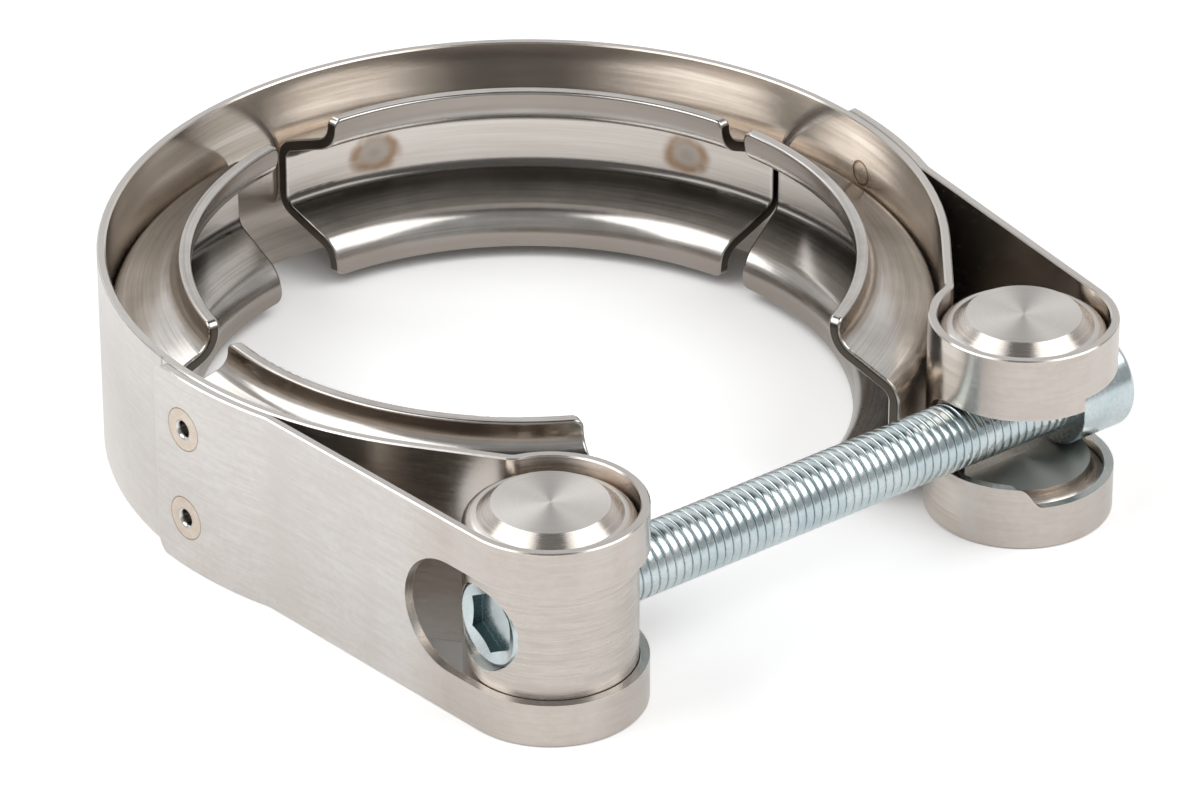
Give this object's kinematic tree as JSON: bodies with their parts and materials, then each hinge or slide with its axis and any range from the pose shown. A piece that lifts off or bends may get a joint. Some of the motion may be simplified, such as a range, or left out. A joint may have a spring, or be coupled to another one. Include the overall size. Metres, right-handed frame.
{
  "type": "band clamp",
  "caption": "Heavy-duty V-profile band clamp that draws two pipe flanges together, with riveted strip loops, barrel trunnions and a long cap screw.",
  "frame": {"origin": "centre of the ring at half the width of the band", "axes": "+Z along the axis of the ring, +X along the screw towards its head, the opening of the ring faces -Y"},
  "size_m": [0.1535, 0.1667, 0.0376],
  "materials": {
    "strip_steel": "brushed along the strip",
    "retainer_steel": "rolled and smooth",
    "turned_steel": "turned",
    "rivet_steel": "heat tinted",
    "zinc_plate": "bright zinc"
  },
  "bodies": {
    "clamp_band": {"band_strap": "strip_steel", "retainer_right": "retainer_steel", "retainer_back": "retainer_steel", "retainer_left": "retainer_steel", "retainer_front": "retainer_steel", "rivet_right_upper": "rivet_steel", "rivet_right_lower": "rivet_steel", "rivet_left_upper": "rivet_steel", "rivet_left_lower": "rivet_steel"},
    "nut_trunnion": {"nut_trunnion": "turned_steel"},
    "socket_nut": {"socket_nut": "zinc_plate"},
    "cap_screw": {"cap_screw": "zinc_plate"},
    "slotted_trunnion": {"slotted_trunnion": "turned_steel"}
  },
  "joints": [
    {"name": "screw_swing", "type": "hinge", "parent": "clamp_band", "child": "nut_trunnion", "pos_m": [-0.0513, -0.0751, 0], "axis": [0, 0, -1], "range_deg": [0, 110]},
    {"name": "nut_turn", "type": "hinge", "parent": "nut_trunnion", "child": "socket_nut", "pos_m": [-0.0513, -0.0751, 0], "axis": [-1, 0, 0], "range_deg": [0, 2469]},
    {"name": "screw_travel", "type": "slide", "parent": "nut_trunnion", "child": "cap_screw", "axis": [1, 0, 0], "range_m": [0, 0.012]},
    {"name": "seat_swing", "type": "hinge", "parent": "clamp_band", "child": "slotted_trunnion", "pos_m": [0.0513, -0.0751, 0], "axis": [0, 0, 1], "range_deg": [0, 8]}
  ],
  "couplings": [
    {"joint": "nut_turn", "follows": "screw_travel", "rad_per_m": 3590.4}
  ]
}
